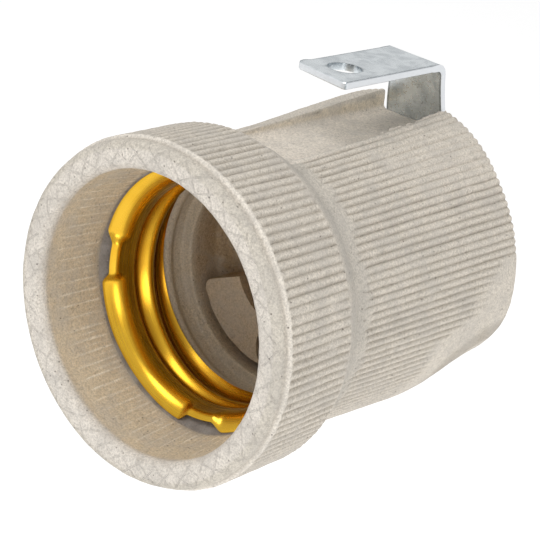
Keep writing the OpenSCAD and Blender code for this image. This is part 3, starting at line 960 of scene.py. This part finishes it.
def gold_material():
    """Satin gold anodising: smooth, a little streaked round the axis, with painted shade, brown,
    in the grooves.
    """
    m = Nodes("gold_shell")
    _, depth, _, radius = m.from_axis()
    # Painted shade: the thread's grooves behind the first crest are painted dark brown
    behind = m.ramp(depth, AXIS.y + 11.2 * MM, AXIS.y + 11.9 * MM)
    groove = m.math("MULTIPLY", behind, m.ramp(radius, 12.45 * MM, 13.15 * MM))
    profile = m.add("ShaderNodeCombineXYZ", {"X": radius, "Y": depth}).outputs["Vector"]
    streaks = m.noise(0.35, 3, 0.5, place=profile)
    cloud = m.noise(3.5, 2)
    colour = m.mix(m.ramp(cloud, 0.35, 0.7, 0, 0.45), linear(232, 184, 58), linear(220, 164, 38))
    colour = m.mix(m.math("MULTIPLY", groove, 0.75), colour, linear(138, 84, 8))
    m.set(m.shader.inputs["Base Color"], colour)
    m.shader.inputs["Metallic"].default_value = 1.0
    m.set(m.shader.inputs["Roughness"], m.ramp(streaks, 0.3, 0.7, 0.23, 0.29))
    return m.material


def fibre_material():
    """Dull brown pressed fibre."""
    m = Nodes("fibre_washer")
    weave = m.noise(0.12, 5, 0.7)
    m.set(m.shader.inputs["Base Color"],
          m.mix(m.ramp(weave, 0.35, 0.65), linear(86, 56, 40), linear(126, 84, 58)))
    m.shader.inputs["Roughness"].default_value = 0.85
    m.set(m.shader.inputs["Normal"], m.bump(weave, 0.03))
    return m.material


# Colours of the clay's zones; several are painted light or shade, as marked below
CLAY = linear(203, 196, 184)
# Painted highlight on the rib tops and painted shade in the rib grooves
CLAY_RIB_HIGHLIGHT = linear(212, 204, 192)
CLAY_RIB_SHADE = linear(172, 163, 150)
CLAY_WAIST = linear(186, 180, 170)
CLAY_RIM = linear(216, 209, 199)
# Painted shade on the narrow lip band, painted highlight on the step where the ribs begin
CLAY_LIP_SHADE = linear(188, 180, 168)
CLAY_STEP_HIGHLIGHT = linear(232, 225, 214)
# Inside the mouth: painted shade and painted reflection of the gold, tan on the skirt
CLAY_SKIRT_SHADE_AND_GOLD = linear(208, 192, 166)
# Painted highlight along the skirt's fine raised ridges
CLAY_SKIRT_RIDGE_HIGHLIGHT = linear(248, 240, 224)
# Painted shade at the seat, in the gap between the skirt and the shell
CLAY_SEAT_SHADE = linear(128, 120, 114)
# Painted shade, browner and darker towards the floor
CLAY_RIDGE_BAND_SHADE = linear(196, 184, 164)
CLAY_DEEP_SHADE = linear(182, 163, 138)
CLAY_FLOOR_SHADE = linear(174, 152, 122)
CLAY_CHANNEL = linear(222, 213, 200)
CLAY_CHANNEL_WALL = linear(216, 204, 184)


def paint_ceramic(body):
    """Vertex colours of the clay: painted highlight on the rib tops and painted shade in their
    grooves, greyer waist, painted shade and painted gold reflection inside the mouth.
    """
    mesh = body.data
    p = lamp_points(mesh)
    r = np.hypot(p[:, 0], p[:, 2])
    y = p[:, 1]
    path = np.array(outer_profile())
    side = path[path[:, 1] > 1.0]
    order = np.argsort(side[:, 1])
    surface = np.interp(y, side[order, 1], side[order, 0])
    sunk = smooth(0.05, RIB_DEPTH, surface - r)
    colours = np.tile(np.array(CLAY[:3]), (len(p), 1))

    def blend(weight, colour):
        nonlocal colours
        weight = np.clip(weight, 0, 1)[:, None]
        colours = colours * (1 - weight) + np.array(colour[:3]) * weight

    outside = smooth(15.6, 15.9, r) * (y > 0.9)
    # Painted highlight on the rib tops, then painted shade down in the rib grooves
    blend(outside * (1 - sunk) * 0.7, CLAY_RIB_HIGHLIGHT)
    blend(outside * sunk * 0.75 * (surface - r < 0.6), CLAY_RIB_SHADE)
    waist = smooth(10.6, 12.4, y) * smooth(17.2, 15.2, y) * outside
    blend(waist * (0.8 + 0.4 * noise(p, 2.5, 2, 51)), CLAY_WAIST)
    blend((1 - smooth(1.0, 1.3, y)) * smooth(17.25, 17.0, r), CLAY_RIM)
    # Painted shade on the narrow lip band, then a painted highlight on the step where the ribs
    # begin
    blend(smooth(0.35, 0.6, y) * smooth(1.4, 1.25, y) * outside * 0.7, CLAY_LIP_SHADE)
    blend(np.exp(-((y - 1.5) / 0.16) ** 2) * outside * 0.8, CLAY_STEP_HIGHLIGHT)
    in_channel = ((y > CHANNEL_Y - 0.6) & (p[:, 2] > CHANNEL_Z - 0.5)
                  & (np.abs(p[:, 0]) < CHANNEL_HALF + 0.6))
    blend(in_channel * smooth(15.9, 15.5, p[:, 2]), CLAY_CHANNEL)
    channel_wall = smooth(-3.7, -4.0, p[:, 0]) * smooth(15.2, 15.6, p[:, 2])
    blend(in_channel * channel_wall * (surface - r > 0.25), CLAY_CHANNEL_WALL)
    inside = (1 - smooth(15.25, 15.7, r)) * (y < FLOOR_Y + 0.6) * ~in_channel
    # Inside the mouth: painted shade and painted reflection of the gold, tan on the skirt
    blend(inside * smooth(0.95, 1.35, y), CLAY_SKIRT_SHADE_AND_GOLD)
    # Painted highlight along the skirt's fine raised ridges
    raised = np.interp(y, (RIM_ROUND, SKIRT_Y), (MOUTH_R, SKIRT_R)) - r
    ridge = smooth(0.02, SKIRT_RIDGE_H, raised) * (y > 2) * (y < SKIRT_Y) * (raised < 0.4)
    blend(inside * ridge * 0.8, CLAY_SKIRT_RIDGE_HIGHLIGHT)
    # Painted shade at the seat, in the gap between the skirt and the shell
    blend(inside * smooth(SKIRT_Y - 0.1, SKIRT_Y + 0.15, y), CLAY_SEAT_SHADE)
    # Painted shade, browner and darker towards the floor
    blend(inside * smooth(15.5, 17.0, y), CLAY_RIDGE_BAND_SHADE)
    blend(inside * smooth(20.6, 21.4, y), CLAY_DEEP_SHADE)
    blend(inside * smooth(PAD_Y + 0.8, FLOOR_Y - 0.5, y), CLAY_FLOOR_SHADE)
    mark(mesh, "rim", (1 - smooth(0.5, 1.0, y)) * smooth(15.0, 15.4, r))
    layer = mesh.color_attributes.new("clay", "FLOAT_COLOR", "POINT")
    layer.data.foreach_set("color", np.column_stack(
        [colours, np.ones(len(p))]).astype(np.float32).ravel())


# ---------------------------------------------------------------- build
ceramic = make_ceramic()
paint_ceramic(ceramic)
ceramic.data.materials.clear()
ceramic.data.materials.append(ceramic_material())
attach(ceramic, "holder")
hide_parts("porcelain_body")

shell = make_shell()
shell.data.materials.append(gold_material())
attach(shell, "holder")
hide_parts("lamp_thread_shell")

brass = metal_material("brass", linear(224, 190, 104), linear(168, 128, 60),
                       roughness=0.32, grain=0.25, scratch=4, bump=0.006)
bronze = metal_material("bronze", linear(214, 158, 92), linear(150, 98, 52),
                        roughness=0.3, grain=0.2, scratch=6, bump=0.004)
contact = metal_material("contact_metal", linear(226, 226, 222), linear(186, 186, 182),
                         roughness=0.25, grain=0.2, scratch=3, bump=0.004)
plated = metal_material("plated_screws", linear(206, 208, 210), linear(150, 152, 156),
                        roughness=0.3, grain=0.2, scratch=5, bump=0.005)
fibre = fibre_material()

bracket = make_bracket()
bracket.data.materials.clear()
bracket.data.materials.append(strip_material())
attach(bracket, "holder")
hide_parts("mounting_bracket")

# The other nodes keep their CAD shape; those not named here are plated
FINISHES = {
    "centre_contact_strip": brass,
    "centre_contact_spring": bronze,
    "centre_contact_button": contact,
    "shell_contact_strip": brass,
    "line_terminal_block": brass,
    "neutral_terminal_block": brass,
    "bracket_screw_washer": fibre,
}
EDGE_BEVEL = 0.09
for name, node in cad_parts.items():
    if name in ("porcelain_body", "lamp_thread_shell", "mounting_bracket"):
        continue
    node.data.materials.clear()
    node.data.materials.append(FINISHES.get(name, plated))
    bevel = node.modifiers.new("edges", "BEVEL")
    bevel.width = EDGE_BEVEL * MM
    bevel.segments = 2
    bevel.limit_method = "ANGLE"
    bevel.angle_limit = math.radians(40)

# ---------------------------------------------------------------- stage and light
FLOOR_DROP = 0.10
FLOOR_HALF = 3.0
FLOOR_GLOW = 0.25
WORLD_GLOW = 0.70
LIGHT_TARGET = Vector((0, 0, -0.02))


def make_floor():
    """Pale floor below the object that glows a little, so that it stays near white."""
    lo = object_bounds()[0]
    half = FLOOR_HALF
    points = [(-half, -half, 0), (half, -half, 0), (half, half, 0), (-half, half, 0)]
    mesh = bpy.data.meshes.new("floor")
    mesh.from_pydata(points, [], [(0, 1, 2, 3)])
    floor = bpy.data.objects.new("floor", mesh)
    floor.location = (0, 0, lo.z - FLOOR_DROP)
    scene.collection.objects.link(floor)
    m = Nodes("pale_floor")
    m.shader.inputs["Base Color"].default_value = (0.93, 0.93, 0.93, 1)
    m.shader.inputs["Emission Color"].default_value = (1, 1, 1, 1)
    m.shader.inputs["Emission Strength"].default_value = FLOOR_GLOW
    m.shader.inputs["Roughness"].default_value = 0.9
    floor.data.materials.append(m.material)


def make_light(name, place, size, power):
    """Round lamp size metres across that faces the object."""
    light = bpy.data.lights.new(name, "AREA")
    light.shape = "DISK"
    light.size = size
    light.energy = power
    obj = bpy.data.objects.new(name, light)
    obj.location = place
    obj.rotation_euler = (Vector(place) - LIGHT_TARGET).to_track_quat("Z", "Y").to_euler()
    scene.collection.objects.link(obj)


make_floor()
make_light("key", (-0.15, -0.45, 0.75), size=0.5, power=3)
make_light("side", (0.75, -0.15, 0.25), size=0.4, power=0.6)
make_light("fill", (0.58, -0.53, 0.09), size=0.3, power=0.9)
world = bpy.data.worlds.new("studio")
scene.world = world
world.use_nodes = True
background = world.node_tree.nodes["Background"]
background.inputs["Color"].default_value = (1, 1, 1, 1)
background.inputs["Strength"].default_value = WORLD_GLOW
scene.view_settings.view_transform = "Standard"
scene.view_settings.look = "None"
